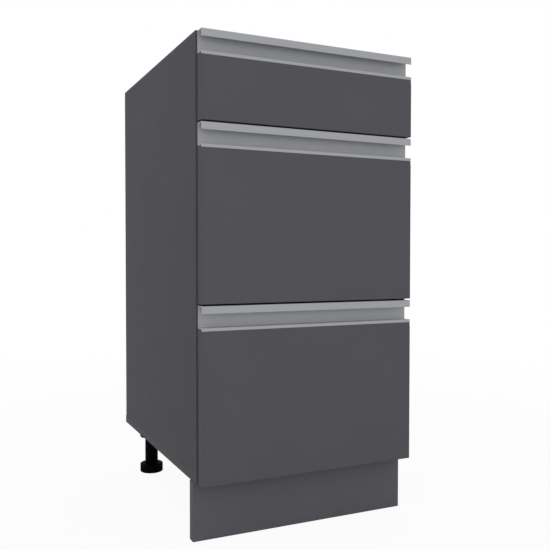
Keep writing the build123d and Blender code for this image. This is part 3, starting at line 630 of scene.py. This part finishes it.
def socket_ribs():
    """Gussets between each socket's cup and its flange, with none where a screw stands."""
    ribs = Recipe("socket_ribs")
    around = ribs.size("Ribs around", RIBS_AROUND)
    cup = ribs.size("Cup radius", CUP_RADIUS - RIB_ROOT)
    reach = ribs.size("Reach", RIB_REACH)
    thickness = ribs.size("Thickness", RIB_THICKNESS)
    drop = ribs.size("Drop", RIB_DROP)

    block = ribs.node("GeometryNodeMeshCube", inputs={"Size": ribs.vector(reach, thickness, drop)})
    here = ribs.parts(ribs.node("GeometryNodeInputPosition"))
    inputs = {
        "Geometry": block,
        "Selection": (here[X] > 0) * (here[Z] < 0),
        "Offset": ribs.vector(reach * -RIB_LOSS),
    }
    gusset = ribs.node("GeometryNodeSetPosition", inputs=inputs)
    gusset = ribs.moved(gusset, ribs.vector(cup + reach * 0.5, 0.0, drop * -0.5))

    number = ribs.node("GeometryNodeInputIndex")
    turn = ribs.vector(0.0, 0.0, number * (2 * math.pi / RIBS_AROUND))
    beside_screws = abs(number % RIBS_TO_A_SCREW - RIBS_TO_A_SCREW / 2) > 0.5
    hubs = ribs.node("GeometryNodePoints", inputs={"Count": around})
    ring = ribs.spread(gusset, hubs, Rotation=turn, Selection=beside_screws)
    whole = ribs.coated(ribs.spread(ring, ribs.seeds), plastic)

    under_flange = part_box("leg_sockets")[1].z - FLANGE_THICKNESS
    seeds = []
    for leg in LEGS:
        low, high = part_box(f"leg_foot_{leg}")
        seeds.append(((low.x + high.x) / 2, (low.y + high.y) / 2, under_flange))
    fasten(ribs.grow("leg_socket_ribs", whole, seeds), "carcass", "black_plastic")


socket_ribs()


# ---------------------------------------------------------------- ball cages of the runners
BALL_RADIUS = 1.5 * MM
BALL_PLAY = 0.15 * MM
BALLS_IN_STRIP = 23
BALL_SEGMENTS = 10
BALL_RINGS = 6
HOLE_SIDES = 12
STRIP_WIDTH = 4.4 * MM
STRIP_THICKNESS = 0.8 * MM
STRIP_CORNER = 1.6 * MM
CORNER_POINTS = 4
WELD = 0.01 * MM  # points closer than this become one
COLLAR_WALL = 0.35 * MM
COLLAR_HEIGHT = 0.9 * MM  # from the strip's middle


def ball_cage(drawer, ring, body):
    """A runner pair's cage strips at one level of the runners, with their balls."""
    node = f"ball_cages_{ring}_{drawer}"
    low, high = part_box(node)
    cage = Recipe(node)
    balls = cage.size("Balls", BALLS_IN_STRIP)
    length = cage.size("Length", high.y - low.y)
    width = cage.size("Width", STRIP_WIDTH)
    thickness = cage.size("Thickness", STRIP_THICKNESS)
    radius = cage.size("Ball radius", BALL_RADIUS)
    hole = radius + BALL_PLAY

    pitch = length * (1 / BALLS_IN_STRIP)
    inputs = {
        "Count": balls,
        "Start Location": cage.vector(0.0, (length - pitch) * -0.5),
        "Offset": cage.vector(0.0, pitch),
    }
    row = cage.node("GeometryNodeMeshLine", {"mode": "OFFSET"}, inputs)
    circle = cage.circle(HOLE_SIDES, hole)
    outline = cage.oblong(width, length)
    rounding = {"Curve": outline, "Radius": STRIP_CORNER, "Count": CORNER_POINTS}
    outline = cage.node("GeometryNodeFilletCurve", {"mode": "POLY"}, rounding)
    holes = cage.spread(circle, row)
    sheet = cage.node("GeometryNodeFillCurve", {"mode": "TRIANGLES"}, [cage.join(outline, holes)])
    sheet = cage.moved(sheet, cage.vector(0.0, 0.0, thickness * -0.5))
    raised = {"Mesh": sheet, "Offset": (0.0, 0.0, 1.0), "Offset Scale": thickness}
    raised["Individual"] = False
    rim_and_top = cage.node("GeometryNodeExtrudeMesh", {"mode": "FACES"}, raised)
    plate = cage.join(rim_and_top, cage.node("GeometryNodeFlipFaces", inputs=[sheet]))
    welded = {"Geometry": plate, "Distance": WELD}
    plate = cage.node("GeometryNodeMergeByDistance", inputs=welded)

    profile = cage.oblong(COLLAR_WALL, 2 * COLLAR_HEIGHT)
    wall = cage.circle(HOLE_SIDES, hole + COLLAR_WALL / 2)
    collar = cage.node("GeometryNodeCurveToMesh", inputs={"Curve": wall, "Profile Curve": profile})
    ball = {"Segments": BALL_SEGMENTS, "Rings": BALL_RINGS, "Radius": radius}
    ball = cage.smoothed(cage.node("GeometryNodeMeshUVSphere", inputs=ball))
    metal = cage.coated(cage.join(plate, cage.spread(collar, row)), cage_zinc)
    loaded = cage.join(metal, cage.coated(cage.spread(ball, row), polished))
    whole = cage.spread(loaded, cage.seeds)

    inner = high.x - STRIP_WIDTH / 2
    race = (high.z - low.z) / 2 - BALL_RADIUS
    middle = (low + high) / 2
    seeds = [(side * inner, middle.y, middle.z + level * race) for side in SIDES for level in SIDES]
    fasten(cage.grow(f"cages_{ring}_{drawer}", whole, seeds), body, "ball_steel", node)


for drawer in DRAWERS:
    for ring in ("outer", "inner"):
        ball_cage(drawer, ring, f"{ring}_cages_{drawer}")


# ---------------------------------------------------------------- release levers of the runners
MEMBER_STEEL = 1.2 * MM
LEVER_SETBACK = 13.0 * MM  # middle of the drawer member to the lever's pivot
LEVER_LENGTH = 42.0 * MM
LEVER_BEND = 2.5 * MM  # how far its tab lies above or below its pivot
LEVER_THICKNESS = 1.4 * MM
LEVER_ROOT = 0.05 * MM  # a lever starts this far inside its member
LEVER_EASE = 0.3 * MM
PIVOT_RADIUS = 5.5 * MM
TAB_RADIUS = 3.6 * MM
PAD_RADIUS = 2.9 * MM
PAD_THICKNESS = 2.6 * MM
ARC_STEPS = 16


def arc(y, z, radius, start, turn):
    """Points round a centre, from an angle on through a turn."""
    angles = [start + turn * step / ARC_STEPS for step in range(ARC_STEPS)]
    return [(y + radius * math.cos(angle), z + radius * math.sin(angle)) for angle in angles]


def release_levers(filled, drawer):
    """The levers that free a drawer from its runners, bent up on one side, down on the other."""
    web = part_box(f"drawer_{drawer}_box_side_right")[1].x + MEMBER_STEEL
    low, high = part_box(f"runner_drawer_members_{drawer}")
    middle = (low + high) / 2
    pivot = middle.y - LEVER_SETBACK
    tab = pivot - LEVER_LENGTH
    for side in SIDES:
        level = middle.z + side * LEVER_BEND
        arm = arc(pivot, middle.z, PIVOT_RADIUS, -math.pi / 2, math.pi)
        arm += arc(tab, level, TAB_RADIUS, math.pi / 2, math.pi)
        pad = arc(tab, level, PAD_RADIUS, 0, 2 * math.pi)
        for outline, thickness in ((arm, LEVER_THICKNESS), (pad, PAD_THICKNESS)):
            prism(filled, outline, side * (web - LEVER_ROOT), side * (web + thickness), LEVER_EASE)


for drawer in DRAWERS:
    levers = piece(f"release_levers_{drawer}", release_levers, drawer, plastic)
    fasten(levers, f"drawer_{drawer}", "black_plastic")


# ---------------------------------------------------------------- end bands of the fronts
BAND_PROUD = 0.3 * MM
BAND_ROOT = 0.1 * MM  # a band starts this far inside its board
BAND_EASE = 0.15 * MM
LIP_WALL = 1.5 * MM  # the handle's lower lip over the board's face


def end_bands(filled, drawer):
    """The edge bands on both ends of a front, which close its groove for the handle's tongue."""
    low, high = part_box(f"drawer_{drawer}_front")
    lip_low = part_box(f"drawer_{drawer}_handle")[0].z
    outline = [(low.y, low.z), (low.y, lip_low), (low.y + LIP_WALL, lip_low)]
    outline += [(low.y + LIP_WALL, high.z), (high.y, high.z), (high.y, low.z)]
    for end, outward in ((low.x, -1), (high.x, 1)):
        prism(filled, outline, end - outward * BAND_ROOT, end + outward * BAND_PROUD, BAND_EASE)


for drawer in DRAWERS:
    bands = piece(f"front_bands_{drawer}", end_bands, drawer, banding)
    fasten(bands, f"drawer_{drawer}", "graphite_front")


# ---------------------------------------------------------------- bumper dots
DOT_RADIUS = 4.0 * MM
DOT_HEIGHT = 1.3 * MM
DOT_ROOT = 0.2 * MM  # a dot starts this far inside its panel
DOT_RINGS = 8
DOT_BASE_RINGS = 3
DOT_AROUND = 28
DOT_DROP = 52.0 * MM  # top of a drawer's handle to the upper dots
DOT_RISE = 30.0 * MM  # bottom of its front to the lower dots


def bumper_dots():
    """Soft domes on the front edges of the side panels, where the closed fronts come to rest."""
    dots = Recipe("bumper_dots")
    radius = dots.size("Radius", DOT_RADIUS)
    height = dots.size("Height", DOT_HEIGHT)
    lathe = {"Vertices": DOT_AROUND, "Side Segments": DOT_RINGS, "Fill Segments": DOT_BASE_RINGS}
    lathe |= {"Radius Top": 0.0, "Radius Bottom": radius, "Depth": height}
    cone = dots.node("GeometryNodeMeshCone", inputs=lathe)
    here = dots.parts(dots.node("GeometryNodeInputPosition"))
    # The cone becomes a dome: each point is lifted from its share of the height to the dome's.
    level = here[Z] * (1 / DOT_HEIGHT)
    round_off = level.maths("SQRT", level * (2 - level)) - level
    lift = dots.vector(0.0, 0.0, round_off * height)
    dome = dots.node("GeometryNodeSetPosition", inputs={"Geometry": cone, "Offset": lift})
    dome = dots.moved(dots.smoothed(dome), dots.vector(0.0, 0.0, -DOT_ROOT))
    facing = dots.vector(math.pi / 2)
    whole = dots.coated(dots.spread(dome, dots.seeds, Rotation=facing), plastic)

    seeds = []
    for side in ("left", "right"):
        low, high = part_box(f"side_panel_{side}")
        for drawer in DRAWERS:
            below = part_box(f"drawer_{drawer}_front")[0].z
            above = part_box(f"drawer_{drawer}_handle")[1].z
            for level in (below + DOT_RISE, above - DOT_DROP):
                seeds.append(((low.x + high.x) / 2, low.y, level))
    fasten(dots.grow("bumper_dots", whole, seeds), "carcass", "black_plastic")


bumper_dots()


# ---------------------------------------------------------------- floor, light and camera
FLOOR_HALF = 6.0
FLOOR_WHITE = 0.94  # share of plain white in what the camera sees of the floor near the unit
FLOOR_FADE = (0.9, 2.2)  # distances between which the floor turns wholly white
AMBIENT = 0.80
LAMP_SPOT = (-0.9, -2.7, 0.8)
LAMP_AIM = (0.0, 0.0, 0.4)
LAMP_WIDTH = 1.8
LAMP_WATTS = 12.0
CAMERA_SPOT = (-0.5634, -1.2986, 0.4640)
CAMERA_YAW = math.radians(25.134)
CAMERA_PITCH = math.radians(-1.478)
CAMERA_ROLL = math.radians(0.038)
LENS = 46.425  # millimetres, as is the sensor's width
SENSOR_WIDTH = 36.0
NEAREST_SEEN = 0.01


def seen(nodes):
    """1 for camera, glossy and transmission rays, 0 for the others."""
    kinds = ("Is Camera Ray", "Is Glossy Ray", "Is Transmission Ray")
    camera, glossy, through = [nodes.node("ShaderNodeLightPath", output=kind) for kind in kinds]
    return camera | glossy | through


def lay_floor():
    """A pale floor. The camera sees it nearly white, with the unit's shadow."""
    mesh = bpy.data.meshes.new("floor")
    quarters = ((-1, -1), (1, -1), (1, 1), (-1, 1))
    corners = [(x * FLOOR_HALF, y * FLOOR_HALF, 0) for x, y in quarters]
    mesh.from_pydata(corners, [], [(0, 1, 2, 3)])
    floor = placed("floor", mesh)
    pale = Finish("pale_floor", 0.9, specular=0.0)
    pale.give("Base Color", PALE_FLOOR)
    away = pale.node("ShaderNodeVectorMath", {"operation": "LENGTH"}, [pale.place], "Value")
    white = FLOOR_WHITE + (1 - FLOOR_WHITE) * pale.grade(away, *FLOOR_FADE)
    glow = pale.node("ShaderNodeEmission")
    shader = Value(pale, pale.shader.outputs[0])
    mixed = pale.node("ShaderNodeMixShader", inputs=[seen(pale) * white, shader, glow])
    pale.feed(pale.tree.nodes["Material Output"].inputs[0], mixed)
    mesh.materials.append(pale.material)


def light_the_room():
    """Even light from all round, in front of a background that is seen as plain white."""
    world = bpy.data.worlds.new("studio")
    bpy.context.scene.world = world
    world.use_nodes = True
    room = Nodes(world.node_tree)
    dim = room.node("ShaderNodeBackground", inputs=[WHITE, AMBIENT])
    white = room.node("ShaderNodeBackground", inputs=[WHITE, 1.0])
    mixed = room.node("ShaderNodeMixShader", inputs=[seen(room), dim, white])
    room.feed(world.node_tree.nodes["World Output"].inputs[0], mixed)


def hang_lamp():
    """A soft, square lamp in front, a little to the left."""
    name = "front_left_softbox"
    lamp = bpy.data.lights.new(name, "AREA")
    lamp.energy = LAMP_WATTS
    lamp.size = LAMP_WIDTH
    hung = placed(name, lamp)
    hung.location = LAMP_SPOT
    aim = Vector(LAMP_AIM) - Vector(LAMP_SPOT)
    hung.rotation_euler = aim.to_track_quat("-Z", "Y").to_euler()


def set_camera():
    """The photograph's camera: turned about the upright, tipped up or down, then rolled."""
    camera = bpy.data.cameras.new("camera")
    camera.lens = LENS
    camera.sensor_width = SENSOR_WIDTH
    camera.clip_start = NEAREST_SEEN
    stand = placed("camera", camera)
    turn = Matrix.Rotation(-CAMERA_YAW, 4, "Z")
    tip = Matrix.Rotation(math.pi / 2 + CAMERA_PITCH, 4, "X")
    roll = Matrix.Rotation(CAMERA_ROLL, 4, "Z")
    stand.matrix_world = Matrix.Translation(CAMERA_SPOT) @ (turn @ tip) @ roll
    bpy.context.scene.camera = stand


lay_floor()
light_the_room()
hang_lamp()
set_camera()
bpy.context.scene.view_settings.view_transform = "Standard"
